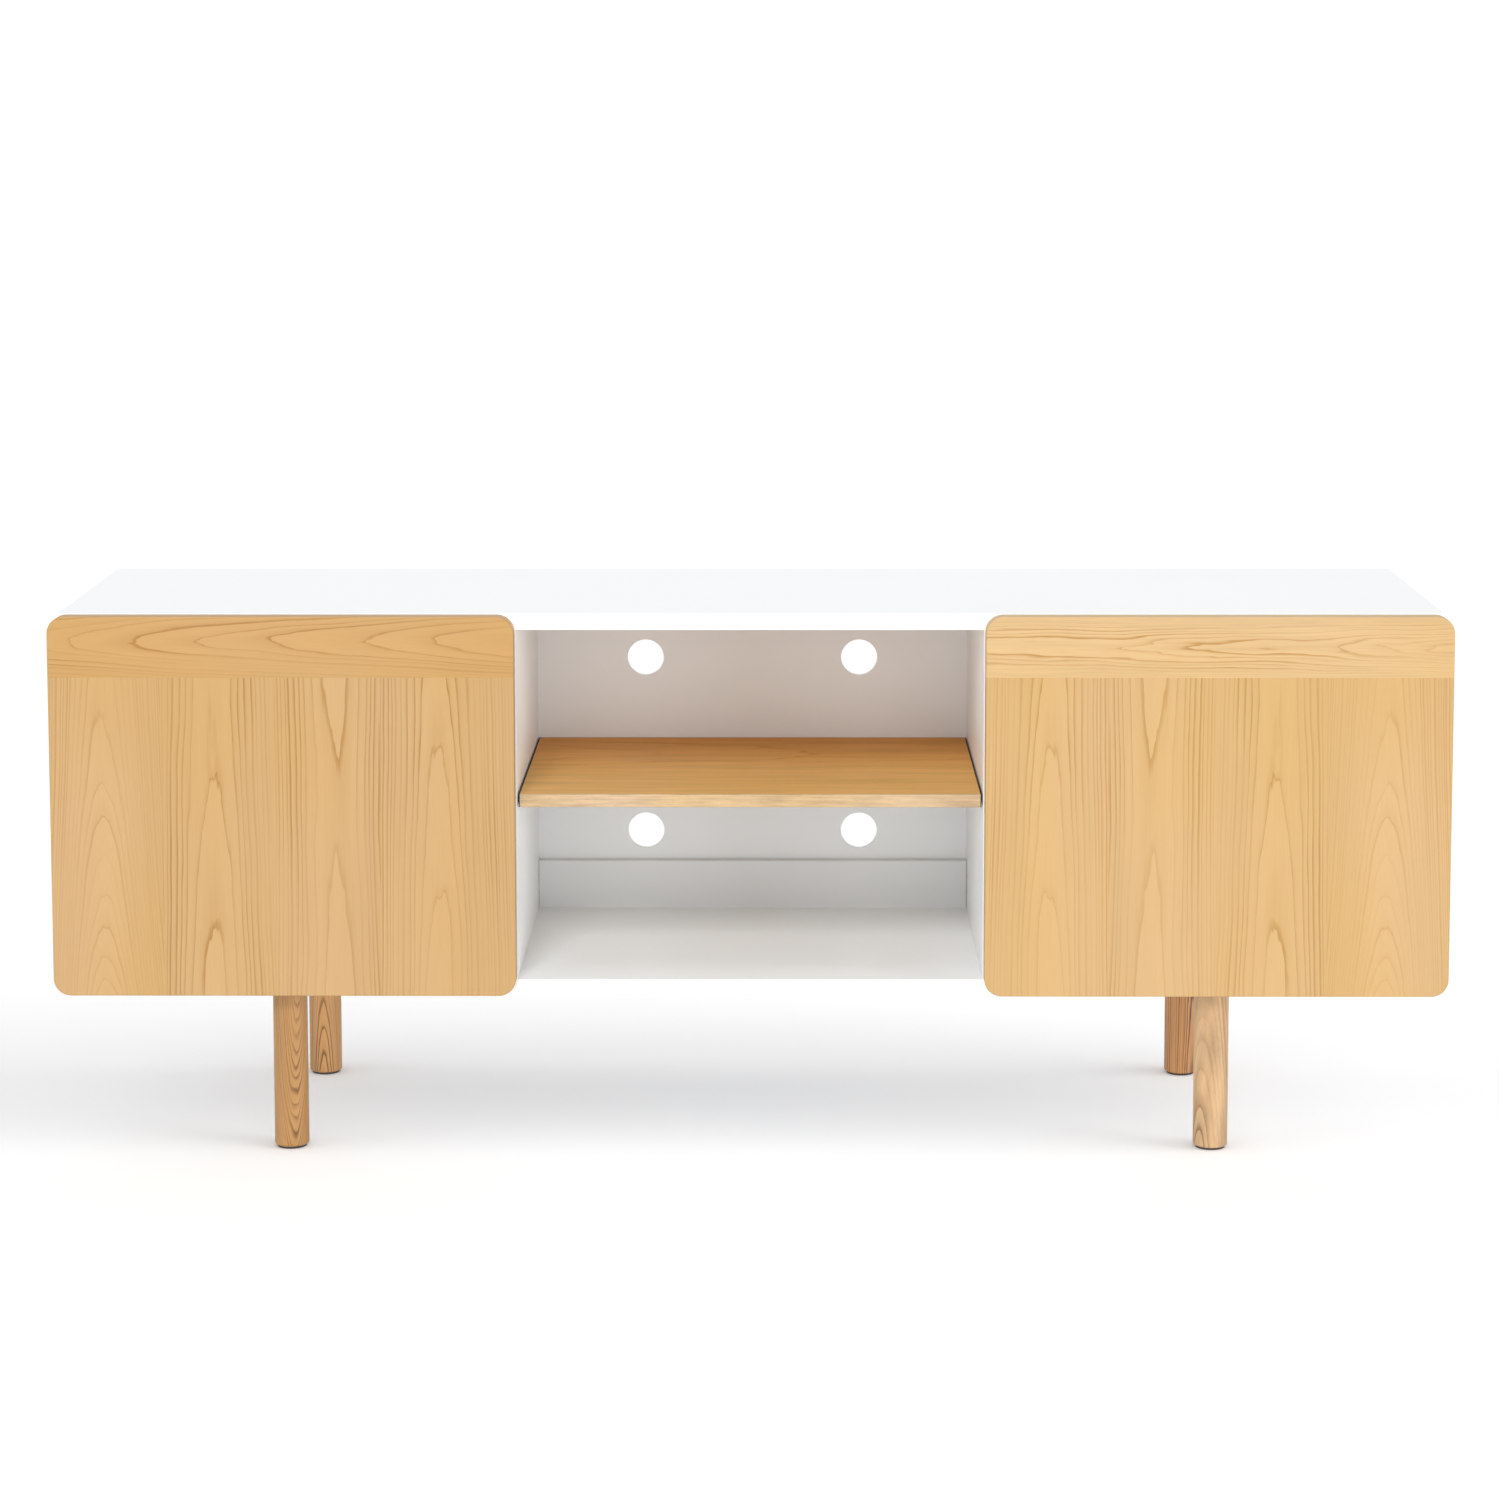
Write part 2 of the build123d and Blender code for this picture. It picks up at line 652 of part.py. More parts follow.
# Hinges: two on each door, drawn in plan at each level
for side, side_name in sides:
    with BuildPart() as hinge_cups:
        for level in hinge_levels:
            mouth = Vector(plan(side, cup_centre, -door_gap, level))
            rod(mouth, forwards, cup_radius, cup_depth)
            ear_x = plan(side, cup_centre + ear_screw_offset, 0, level)[0]
            for turn in (-1, 1):
                span(
                    (ear_x - ear_width / 2, ear_x + ear_width / 2),
                    (door_back_y, door_back_y + ear_thickness),
                    (level + turn * ear_inner, level + turn * ear_outer),
                )
            rod(mouth, forwards, cup_radius - cup_wall, cup_depth - cup_wall, Mode.SUBTRACT)
            pivot = Vector(plan(side, *cup_pivot, level))
            for turn in (-1, 1):
                span(
                    (pivot.X - cup_boss_half, pivot.X + cup_boss_half),
                    (pivot.Y - cup_boss_half, pivot.Y + cup_boss_half),
                    (level + turn * cup_boss_inner, level + turn * cup_pin_half),
                )
            pin_foot = pivot - Vector(0, 0, cup_pin_half)
            rod(pin_foot, up, pin_radius + fit_gap, 2 * cup_pin_half, Mode.SUBTRACT)
        screw_holes(cup_screw_places(side), small_screw)
    keep(hinge_cups, f"{side_name}_hinge_cups")

    with BuildPart() as cup_pins:
        for level in hinge_levels:
            rod(plan(side, *cup_pivot, level - cup_pin_half), up, pin_radius, 2 * cup_pin_half)
    keep(cup_pins, f"{side_name}_cup_pins")

    keep(screw_set(cup_screw_places(side), small_screw), f"{side_name}_cup_screws")

    with BuildPart() as hinge_links:
        for level in hinge_levels:
            with BuildSketch(Plane.XY.offset(level - link_half_width)):
                for pivot in (arm_pivot, cup_pivot):
                    with Locations(plan(side, *pivot, 0)[:2]):
                        Circle(link_half_thickness)
                make_hull()
                for pivot in (arm_pivot, cup_pivot):
                    with Locations(plan(side, *pivot, 0)[:2]):
                        Circle(pin_radius + pin_clearance, mode=Mode.SUBTRACT)
            extrude(amount=2 * link_half_width)
    keep(hinge_links, f"{side_name}_hinge_links")

    with BuildPart() as hinge_arms:
        for level in hinge_levels:
            for foot in (level - cheek_inner - cheek_thickness, level + cheek_inner):
                with BuildSketch(Plane.XY.offset(foot)):
                    with Locations(plan(side, *arm_pivot, 0)[:2]):
                        Circle(cheek_eye_radius)
                    cheek_middle = plan(side, arm_seat + arm_height / 2, (arm_front + arm_rear) / 2, 0)
                    with Locations(cheek_middle[:2]):
                        Rectangle(arm_height, arm_rear - arm_front)
                    make_hull()
                    with Locations(plan(side, *arm_pivot, 0)[:2]):
                        Circle(pin_radius + fit_gap, mode=Mode.SUBTRACT)
                extrude(amount=cheek_thickness)
            web_x = [plan(side, arm_seat + arm_height - edge, 0, 0)[0] for edge in (0, arm_web)]
            span(
                web_x, (front_y + arm_web_front, front_y + arm_rear),
                (level - cheek_inner, level + cheek_inner),
            )
    keep(hinge_arms, f"{side_name}_hinge_arms")

    with BuildPart() as arm_pins:
        for level in hinge_levels:
            rod(plan(side, *arm_pivot, level - arm_pin_half), up, pin_radius, 2 * arm_pin_half)
    keep(arm_pins, f"{side_name}_arm_pins")

    with BuildPart() as hinge_plates:
        for level in hinge_levels:
            plate_y = front_y + hinge_plate_front
            span(
                (plan(side, panel_thickness, 0, 0)[0], plan(side, arm_seat, 0, 0)[0]),
                (plate_y, plate_y + hinge_plate_length),
                (level - hinge_plate_half_height, level + hinge_plate_half_height),
            )
        screw_holes(hinge_plate_screw_places(side), small_screw)
    keep(hinge_plates, f"{side_name}_hinge_plates")

    plate_screws = screw_set(hinge_plate_screw_places(side), small_screw)
    keep(plate_screws, f"{side_name}_hinge_plate_screws")

# Push latches on the dividers, with a strike disc and bumpers on each door
for side, side_name in sides:
    cupboard_face = side * divider_outer
    latch_x = side * latch_middle

    with BuildPart() as latch_body:
        latch_y = (latch_front_y, latch_front_y + latch_length)
        flange_y = (latch_screw_y - latch_width / 2, latch_screw_y + latch_width / 2)
        half = latch_height / 2
        span((cupboard_face, cupboard_face + side * latch_width), latch_y, (latch_z - half, latch_z + half))
        fillet(latch_body.edges().filter_by(Axis.Y), latch_edge_radius)
        flange_z = (latch_z - latch_flange_half_height, latch_z + latch_flange_half_height)
        span((cupboard_face, cupboard_face + side * latch_flange), flange_y, flange_z)
        mouth = facing([(latch_x, latch_front_y, latch_z)], forwards)
        drill(mouth, plunger_radius + plunger_clearance, plunger_bore_depth)
        screw_holes(latch_screw_places(side), small_screw)
    keep(latch_body, f"{side_name}_latch_body")

    keep(screw_set(latch_screw_places(side), small_screw), f"{side_name}_latch_screws")

    with BuildPart() as latch_plunger:
        rod((latch_x, plunger_tip_y, latch_z), backwards, plunger_radius, plunger_length)
        tip_edge = latch_plunger.edges().filter_by(GeomType.CIRCLE).sort_by(Axis.Y)[0]
        fillet(tip_edge, plunger_tip_radius)
    keep(latch_plunger, f"{side_name}_latch_plunger")

    with BuildPart() as strike_disc:
        rod((latch_x, door_back_y, latch_z), backwards, strike_radius, strike_thickness)
    keep(strike_disc, f"{side_name}_strike_disc")

    with BuildPart() as door_bumpers:
        for level in (base_z + bumper_inset, overall_height - bumper_inset):
            rod((side * divider_middle, door_back_y, level), backwards, bumper_radius, bumper_thickness)
    keep(door_bumpers, f"{side_name}_door_bumpers")
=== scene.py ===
import math
import bpy
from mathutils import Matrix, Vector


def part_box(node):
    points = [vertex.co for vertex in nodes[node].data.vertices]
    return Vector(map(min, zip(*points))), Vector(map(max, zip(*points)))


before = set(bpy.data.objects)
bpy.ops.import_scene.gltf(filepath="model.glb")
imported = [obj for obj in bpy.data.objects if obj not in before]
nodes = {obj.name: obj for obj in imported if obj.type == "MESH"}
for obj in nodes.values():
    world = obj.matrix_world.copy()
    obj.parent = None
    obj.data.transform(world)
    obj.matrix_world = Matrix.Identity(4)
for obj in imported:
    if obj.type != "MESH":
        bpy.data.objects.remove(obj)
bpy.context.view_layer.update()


# camera, where the photograph was taken from
cameraSettings = {
    "spot": (0.036, -4.2175, 1.2384),  # metres
    "tiltDown": 5.82,  # degrees, as are the turn and the roll
    "turn": 0.496,
    "roll": 0.068,
    "lens": 85.847,  # millimetres on the sensor below
    "sensor": 36.0,
    "shiftY": -0.205,  # share of the frame
}


def makeCamera(settings):
    data = bpy.data.cameras.new("mainCamera")
    data.lens = settings["lens"]
    data.sensor_width = settings["sensor"]
    data.shift_y = settings["shiftY"]
    camera = bpy.data.objects.new("mainCamera", data)
    camera.location = settings["spot"]
    angles = (90.0 - settings["tiltDown"], settings["roll"], settings["turn"])
    camera.rotation_euler = [math.radians(angle) for angle in angles]
    bpy.context.scene.collection.objects.link(camera)
    bpy.context.scene.camera = camera


makeCamera(cameraSettings)
print("camera placed")


# node tools: a feed is either another node's socket or a plain value
nodeSpacing = 190  # from node to node in the editor
noiseMiddle = 0.5  # the value that a noise swings about


def put(tree, kind, feeds=None, **settings):
    node = tree.nodes.new(kind)
    node.location = (nodeSpacing * len(tree.nodes), 0)
    for name, value in settings.items():
        setattr(node, name, value)
    for key, value in (feeds or {}).items():
        if isinstance(value, bpy.types.NodeSocket):
            tree.links.new(value, node.inputs[key])
        else:
            node.inputs[key].default_value = value
    return node


def split(tree, vector):
    return put(tree, "ShaderNodeSeparateXYZ", {0: vector}).outputs


def calc(tree, operation, *values):
    return put(tree, "ShaderNodeMath", dict(enumerate(values)), operation=operation).outputs[0]


def vectorCalc(tree, operation, first, second):
    return put(tree, "ShaderNodeVectorMath", {0: first, 1: second}, operation=operation).outputs[0]


def remap(tree, value, fromLow, fromHigh, toLow=0.0, toHigh=1.0, smooth=False):
    feeds = {"Value": value, "From Min": fromLow, "From Max": fromHigh, "To Min": toLow, "To Max": toHigh}
    kind = "SMOOTHSTEP" if smooth else "LINEAR"
    return put(tree, "ShaderNodeMapRange", feeds, interpolation_type=kind).outputs[0]


def noise(tree, vector, stretch, detail=2.0, roughness=0.5):
    stretched = vectorCalc(tree, "MULTIPLY", vector, stretch)
    feeds = {"Vector": stretched, "Scale": 1.0, "Detail": detail, "Roughness": roughness}
    return put(tree, "ShaderNodeTexNoise", feeds).outputs[0]


def swing(tree, vector, stretch, **fineness):
    # a noise that goes to either side of zero
    return calc(tree, "SUBTRACT", noise(tree, vector, stretch, **fineness), noiseMiddle)


def mixColour(tree, share, first, second):
    return put(tree, "ShaderNodeMix", {0: share, 6: first, 7: second}, data_type="RGBA").outputs[2]


def mixVector(tree, share, first, second):
    return put(tree, "ShaderNodeMix", {0: share, 4: first, 5: second}, data_type="VECTOR").outputs[1]


def scaleColour(tree, colour, amount):
    node = put(tree, "ShaderNodeVectorMath", {0: colour, "Scale": amount}, operation="SCALE")
    return node.outputs[0]


def opaque(colour):
    return (*colour, 1.0)


# groups that more than one material uses
def startGroup(name, inputs, outputs):
    tree = bpy.data.node_groups.new(name, "ShaderNodeTree")
    for label, kind in inputs:
        tree.interface.new_socket(name=label, in_out="INPUT", socket_type="NodeSocket" + kind)
    for label, kind in outputs:
        tree.interface.new_socket(name=label, in_out="OUTPUT", socket_type="NodeSocket" + kind)
    return tree, put(tree, "NodeGroupInput").outputs, put(tree, "NodeGroupOutput")


def endGroup(tree, exitNode, results):
    for label, socket in results.items():
        tree.links.new(socket, exitNode.inputs[label])
    return tree


def placeGroup(tree, group, feeds):
    return put(tree, "ShaderNodeGroup", feeds, node_tree=group).outputs


skinOutputs = (("Colour", "Color"), ("Roughness", "Float"), ("Height", "Float"))


# log cut: turns a place on a board into a place in the log that it was sliced from
def makeLogCut():
    labels = ("Across", "Along", "Into", "Centre", "Depth", "Waist", "Slope", "Bow")
    tree, given, leave = startGroup("logCut", [(label, "Float") for label in labels], [("Log", "Vector")])
    rise = calc(tree, "SUBTRACT", given["Along"], given["Waist"])
    bowed = calc(tree, "MULTIPLY", given["Bow"], calc(tree, "MULTIPLY", rise, rise))
    leaning = calc(tree, "MULTIPLY", given["Slope"], rise)
    depth = calc(tree, "ADD", calc(tree, "SUBTRACT", leaning, bowed), given["Depth"])
    log = put(tree, "ShaderNodeCombineXYZ", {
        "X": calc(tree, "SUBTRACT", given["Across"], given["Centre"]),
        "Y": calc(tree, "ADD", depth, given["Into"]),
        "Z": given["Along"],
    })
    return endGroup(tree, leave, {"Log": log.outputs[0]})


# growth rings, fibres and pores, for every wooden piece
grainSettings = {
    # each stretch is in waves per metre, across, into and along the log
    "wander": {"stretch": (20.0, 20.0, 4.5), "detail": 1.5},
    "jitter": {"stretch": (130.0, 130.0, 15.0), "detail": 2.0},
    "fibre": {"stretch": (820.0, 820.0, 13.0), "detail": 3.0, "roughness": 0.6},
    "pore": {"stretch": (2300.0, 2300.0, 60.0), "detail": 1.0},
    "streak": {"stretch": (65.0, 65.0, 5.0), "detail": 2.0},
    "cloud": {"stretch": (9.0, 9.0, 2.4), "detail": 2.0},
    "patch": {"stretch": (16.0, 16.0, 3.0), "detail": 1.0},
    "hue": {"stretch": (5.0, 5.0, 2.6), "detail": 1.0},
    "jitterShare": 0.22,
    "spacingRate": 0.37, "unevenness": 1.2,  # how often and how far the rings change their width
    "faintestLine": 0.2,
    "headOnShare": 0.12,  # width that a line keeps where its ring lies flat
    "widestLine": 0.5,  # share of a ring
    "onsetShare": 0.25,  # how soon a line darkens, as a share of its width
    "softReach": 0.6, "softShare": 0.3,  # the pale tail of a line
    "packedLean": (0.3, 0.62), "packedShare": 0.62,  # rings so upright that their lines crowd
    "patchRange": (0.4, 0.6), "patchLeast": 0.4,  # lines that come and go over the board
    "poreRange": (0.58, 0.72), "poreLeast": 0.2,  # pores are fewest between the lines
    "poreShade": (0.8, 0.2),  # share of the fibre strength, and the least
    "hueRange": (0.36, 0.64), "coolHue": (1.0, 1.015, 1.09), "warmHue": (1.0, 0.98, 0.88),
    "cloudShade": 0.1,
    "heartWidth": 0.045, "heartGlow": 0.05,  # metres, and how much paler the heart is
    "roughness": 0.4, "poreRoughness": 0.12, "lineRoughness": 0.08,
    "fibreHeight": 0.5, "poreHeight": -0.8, "lineHeight": -0.4,
}
grainLabels = ("Ring", "Width", "Wander", "Contrast", "Fibre", "Streak", "Seed")


def ringRadius(tree, given, place, shifted, settings):
    # how far each point is from the heart of the log, with the waves of a real tree
    across = calc(tree, "MULTIPLY", place["X"], place["X"])
    into = calc(tree, "MULTIPLY", place["Y"], place["Y"])
    radius = calc(tree, "SQRT", calc(tree, "ADD", across, into))
    waves = swing(tree, shifted, **settings["wander"])
    jitter = swing(tree, shifted, **settings["jitter"])
    waves = calc(tree, "MULTIPLY_ADD", jitter, settings["jitterShare"], waves)
    return calc(tree, "MULTIPLY_ADD", waves, given["Wander"], radius)


def ringLines(tree, given, place, shifted, settings):
    # rings of uneven width, each with a dark porous start that fades outwards
    radius = ringRadius(tree, given, place, shifted, settings)
    rings = calc(tree, "DIVIDE", radius, given["Ring"])
    turns = calc(tree, "ADD", calc(tree, "MULTIPLY", rings, settings["spacingRate"]), given["Seed"])
    spacing = put(tree, "ShaderNodeTexNoise", {"W": turns, "Scale": 1.0}, noise_dimensions="1D").outputs[0]
    rings = calc(tree, "MULTIPLY_ADD", spacing, settings["unevenness"], rings)
    phase = calc(tree, "FRACT", rings)
    whole = calc(tree, "ADD", calc(tree, "FLOOR", rings), given["Seed"])
    strength = put(tree, "ShaderNodeTexWhiteNoise", {"W": whole}, noise_dimensions="1D").outputs["Value"]
    strength = remap(tree, strength, 0.0, 1.0, settings["faintestLine"], 1.0)
    # a ring that lies flat in the surface would smear, so the lines thin out towards the heart
    lean = calc(tree, "DIVIDE", calc(tree, "ABSOLUTE", place["X"]), radius)
    width = calc(tree, "MULTIPLY", calc(tree, "ADD", lean, settings["headOnShare"]), given["Width"])
    width = calc(tree, "MINIMUM", calc(tree, "DIVIDE", width, given["Ring"]), settings["widestLine"])
    fade = remap(tree, phase, 0.0, width, 1.0, 0.0, smooth=True)
    start = calc(tree, "MULTIPLY_ADD", width, -settings["onsetShare"], 1.0)
    onset = remap(tree, phase, start, 1.0, 0.0, 1.0, smooth=True)
    soft = remap(tree, phase, 0.0, settings["softReach"], 1.0, 0.0)
    soft = calc(tree, "MULTIPLY", soft, settings["softShare"])
    line = calc(tree, "MAXIMUM", calc(tree, "MAXIMUM", fade, onset), soft)
    crowd = remap(tree, lean, *settings["packedLean"], 1.0, settings["packedShare"])
    line = calc(tree, "MULTIPLY", calc(tree, "MULTIPLY", line, crowd), strength)
    patch = noise(tree, shifted, **settings["patch"])
    patch = remap(tree, patch, *settings["patchRange"], settings["patchLeast"], 1.0)
    return calc(tree, "MULTIPLY", line, patch)


def makeAshGrain(settings):
    inputs = [("Log", "Vector"), ("Pale", "Color"), ("Line", "Color")]
    inputs += [(label, "Float") for label in grainLabels]
    tree, given, leave = startGroup("ashGrain", inputs, skinOutputs)
    place = split(tree, given["Log"])
    shifted = vectorCalc(tree, "ADD", given["Log"], given["Seed"])
    line = ringLines(tree, given, place, shifted, settings)
    fibre = swing(tree, shifted, **settings["fibre"])
    streak = swing(tree, shifted, **settings["streak"])
    cloud = swing(tree, shifted, **settings["cloud"])
    pores = remap(tree, noise(tree, shifted, **settings["pore"]), *settings["poreRange"])
    pores = calc(tree, "MULTIPLY", pores, remap(tree, line, 0.0, 1.0, settings["poreLeast"], 1.0))
    # colour
    dark = calc(tree, "MULTIPLY", line, given["Contrast"])
    poreShade = calc(tree, "MULTIPLY_ADD", given["Fibre"], *settings["poreShade"])
    dark = calc(tree, "MULTIPLY_ADD", pores, poreShade, dark)
    wood = mixColour(tree, dark, given["Pale"], given["Line"])
    warmth = remap(tree, noise(tree, shifted, **settings["hue"]), *settings["hueRange"])
    hue = mixVector(tree, warmth, settings["coolHue"], settings["warmHue"])
    wood = vectorCalc(tree, "MULTIPLY", wood, hue)
    shade = calc(tree, "MULTIPLY_ADD", fibre, given["Fibre"], 1.0)
    shade = calc(tree, "MULTIPLY_ADD", cloud, settings["cloudShade"], shade)
    shade = calc(tree, "MULTIPLY_ADD", streak, given["Streak"], shade)
    aside = calc(tree, "ABSOLUTE", place["X"])
    heart = remap(tree, aside, 0.0, settings["heartWidth"], 1.0, 0.0, smooth=True)
    shade = calc(tree, "MULTIPLY_ADD", heart, settings["heartGlow"], shade)
    # gloss and relief
    rough = calc(tree, "MULTIPLY_ADD", pores, settings["poreRoughness"], settings["roughness"])
    height = calc(tree, "MULTIPLY", fibre, settings["fibreHeight"])
    height = calc(tree, "MULTIPLY_ADD", pores, settings["poreHeight"], height)
    return endGroup(tree, leave, {
        "Colour": scaleColour(tree, wood, shade),
        "Roughness": calc(tree, "MULTIPLY_ADD", line, settings["lineRoughness"], rough),
        "Height": calc(tree, "MULTIPLY_ADD", line, settings["lineHeight"], height),
    })


# sprayed satin lacquer, with the faint orange peel of a sprayed coat
lacquerSettings = {
    "peel": {"stretch": (330.0, 330.0, 330.0), "detail": 1.0},
    "drift": {"stretch": (7.0, 7.0, 7.0), "detail": 2.0},
    "driftShade": 0.02, "driftRoughness": 0.12,
}


def makeLacquerSkin(settings):
    inputs = [("Place", "Vector"), ("Paint", "Color"), ("Gloss", "Float")]
    tree, given, leave = startGroup("lacquerSkin", inputs, skinOutputs)
    drift = swing(tree, given["Place"], **settings["drift"])
    shade = calc(tree, "MULTIPLY_ADD", drift, settings["driftShade"], 1.0)
    return endGroup(tree, leave, {
        "Colour": scaleColour(tree, given["Paint"], shade),
        "Roughness": calc(tree, "MULTIPLY_ADD", drift, settings["driftRoughness"], given["Gloss"]),
        "Height": noise(tree, given["Place"], **settings["peel"]),
    })


# drawn and plated metal: fine streaks one way, faint mottling of the plating
platedSettings = {
    "streakFineness": {"detail": 3.0, "roughness": 0.6},
    "mottle": {"stretch": (260.0, 260.0, 260.0), "detail": 2.0},
    "streakShade": 0.12, "streakRoughness": 0.2,
    "mottleShade": 0.16, "mottleRoughness": 0.16,
}


def makePlatedSkin(settings):
    inputs = [("Place", "Vector"), ("Metal", "Color"), ("Gloss", "Float"), ("Streaks", "Vector")]
    tree, given, leave = startGroup("platedSkin", inputs, skinOutputs)
    streak = swing(tree, given["Place"], given["Streaks"], **settings["streakFineness"])
    mottle = swing(tree, given["Place"], **settings["mottle"])
    shade = calc(tree, "MULTIPLY_ADD", streak, settings["streakShade"], 1.0)
    shade = calc(tree, "MULTIPLY_ADD", mottle, settings["mottleShade"], shade)
    rough = calc(tree, "MULTIPLY_ADD", mottle, settings["mottleRoughness"], given["Gloss"])
    return endGroup(tree, leave, {
        "Colour": scaleColour(tree, given["Metal"], shade),
        "Roughness": calc(tree, "MULTIPLY_ADD", streak, settings["streakRoughness"], rough),
        "Height": streak,
    })


# moulded plastic and rubber: the fine spark texture of a mould
mouldedSettings = {
    "spark": {"stretch": (1800.0, 1800.0, 1800.0), "detail": 1.0},
    "flow": {"stretch": (60.0, 60.0, 60.0), "detail": 2.0},
    "flowShade": 0.1, "flowRoughness": 0.15,
}


def makeMouldedSkin(settings):
    inputs = [("Place", "Vector"), ("Tint", "Color"), ("Gloss", "Float")]
    tree, given, leave = startGroup("mouldedSkin", inputs, skinOutputs)
    flow = swing(tree, given["Place"], **settings["flow"])
    shade = calc(tree, "MULTIPLY_ADD", flow, settings["flowShade"], 1.0)
    return endGroup(tree, leave, {
        "Colour": scaleColour(tree, given["Tint"], shade),
        "Roughness": calc(tree, "MULTIPLY_ADD", flow, settings["flowRoughness"], given["Gloss"]),
        "Height": noise(tree, given["Place"], **settings["spark"]),
    })


# painted shade: near-black ends of a board, standing in for the shadow in the narrow gap beside them
def makePaintedEndShade():
    inputs = [("Wood", "Color"), ("Ends", "Color"), ("Along", "Float"), ("Reach", "Float")]
    tree, given, leave = startGroup("paintedEndShade", inputs, [("Colour", "Color")])
    past = calc(tree, "GREATER_THAN", calc(tree, "ABSOLUTE", given["Along"]), given["Reach"])
    return endGroup(tree, leave, {"Colour": mixColour(tree, past, given["Wood"], given["Ends"])})


logCut = makeLogCut()
ashGrain = makeAshGrain(grainSettings)
lacquerSkin = makeLacquerSkin(lacquerSettings)
platedSkin = makePlatedSkin(platedSettings)
mouldedSkin = makeMouldedSkin(mouldedSettings)
paintedEndShade = makePaintedEndShade()
print("node groups:", len(bpy.data.node_groups))


# what every material starts from; a relief is in metres
def startMaterial(name):
    material = bpy.data.materials.new(name)
    material.use_nodes = True
    tree = material.node_tree
    place = put(tree, "ShaderNodeTexCoord").outputs["Object"]
    return material, tree, tree.nodes["Principled BSDF"], place


def coverShader(tree, shader, skin, relief):
    tree.links.new(skin["Colour"], shader.inputs["Base Color"])
    tree.links.new(skin["Roughness"], shader.inputs["Roughness"])
    bump = put(tree, "ShaderNodeBump", {"Height": skin["Height"], "Strength": 1.0, "Distance": relief})
    tree.links.new(bump.outputs[0], shader.inputs["Normal"])


def cutLog(tree, across, along, into, cut):
    return placeGroup(tree, logCut, {"Across": across, "Along": along, "Into": into, **cut})["Log"]


def finishWood(tree, shader, log, look):
    feeds = {label: look[label.lower()] for label in grainLabels}
    feeds.update({"Log": log, "Pale": opaque(look["pale"]), "Line": opaque(look["line"])})
    shader.inputs["Specular IOR Level"].default_value = look["shine"]
    skin = placeGroup(tree, ashGrain, feeds)
    coverShader(tree, shader, skin, look["relief"])
    return skin


# veneer of a door: four upright leaves, laid in mirrored order on the two doors
leftDoorLook = {
    "ring": 0.0026, "width": 0.0020, "wander": 0.0045,  # metres
    "contrast": 1.35, "fibre": 0.12, "streak": 0.08, "seed": 3.1, "shine": 0.4,
    "pale": (0.452, 0.279, 0.116), "line": (0.32, 0.163, 0.038), "relief": 0.00006,
    "slide": 0.0,  # metres that the figure is moved from the outer edge
    "leafSpacing": 3.0,  # metres of log from one leaf to the next
}
# painted light: the right door's veneer is paler than the left's, standing in for the stronger light from
# the right
rightDoorLook = {
    **leftDoorLook, "contrast": 1.2, "slide": 0.0125,
    "pale": (0.492, 0.311, 0.131), "line": (0.36, 0.191, 0.047),
}
doorLeaves = (  # metres; where a leaf starts from the outer edge, and how the log was sliced
    {"edge": 0.000, "cut": {"Centre": 0.062, "Depth": 0.0360, "Waist": 0.0, "Slope": 0.0900, "Bow": 0.090}},
    {"edge": 0.128, "cut": {"Centre": 0.187, "Depth": 0.0887, "Waist": 0.0, "Slope": 0.0107, "Bow": 0.0}},
    {"edge": 0.255, "cut": {"Centre": 0.327, "Depth": 0.0897, "Waist": 0.21, "Slope": 0.0, "Bow": 0.045}},
    {"edge": 0.378, "cut": {"Centre": 0.445, "Depth": 0.0786, "Waist": 0.0, "Slope": 0.0119, "Bow": 0.0}},
)


def doorPlaces(tree, place, side):
    # distances from a door's outer edge, its foot and its front face
    low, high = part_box(f"{side}_door_panel")
    axes = split(tree, place)
    if side == "left":
        across = calc(tree, "SUBTRACT", axes["X"], low.x)
    else:
        across = calc(tree, "SUBTRACT", high.x, axes["X"])
    return across, calc(tree, "SUBTRACT", axes["Z"], low.z), calc(tree, "SUBTRACT", axes["Y"], low.y)


def makeDoorVeneer(side, look, leaves):
    material, tree, shader, place = startMaterial(f"{side}DoorVeneer")
    across, along, into = doorPlaces(tree, place, side)
    across = calc(tree, "SUBTRACT", across, look["slide"])
    log = None
    for count, leaf in enumerate(leaves):
        piece = cutLog(tree, across, along, into, leaf["cut"])
        piece = vectorCalc(tree, "ADD", piece, (0.0, 0.0, look["leafSpacing"] * count))
        if log is None:
            log = piece
        else:
            past = calc(tree, "GREATER_THAN", across, leaf["edge"])
            log = mixVector(tree, past, log, piece)
    finishWood(tree, shader, log, look)
    return material


# top rail of a door: one board with the grain lying along it
leftRailLook = {
    "ring": 0.0024, "width": 0.0016, "wander": 0.0045,
    "contrast": 1.1, "fibre": 0.14, "streak": 0.1, "seed": 8.4, "shine": 0.4,
    "pale": (0.436, 0.251, 0.085), "line": (0.31, 0.15, 0.034), "relief": 0.00006,
    "cut": {"Centre": 0.413, "Depth": 0.062, "Waist": 0.0, "Slope": -0.03, "Bow": 0.0},
}
rightRailLook = {
    "ring": 0.0021, "width": 0.0022, "wander": 0.013,
    "contrast": 1.3, "fibre": 0.25, "streak": 0.2, "seed": 5.7, "shine": 0.4,
    "pale": (0.52, 0.347, 0.163), "line": (0.375, 0.2, 0.054), "relief": 0.00008,
    "cut": {"Centre": 0.405, "Depth": 0.022, "Waist": 0.0, "Slope": 0.01, "Bow": 0.0},
}


def makeRailWood(side, look):
    material, tree, shader, place = startMaterial(f"{side}RailAsh")
    across, along, into = doorPlaces(tree, place, side)
    finishWood(tree, shader, cutLog(tree, along, across, into, look["cut"]), look)
    return material


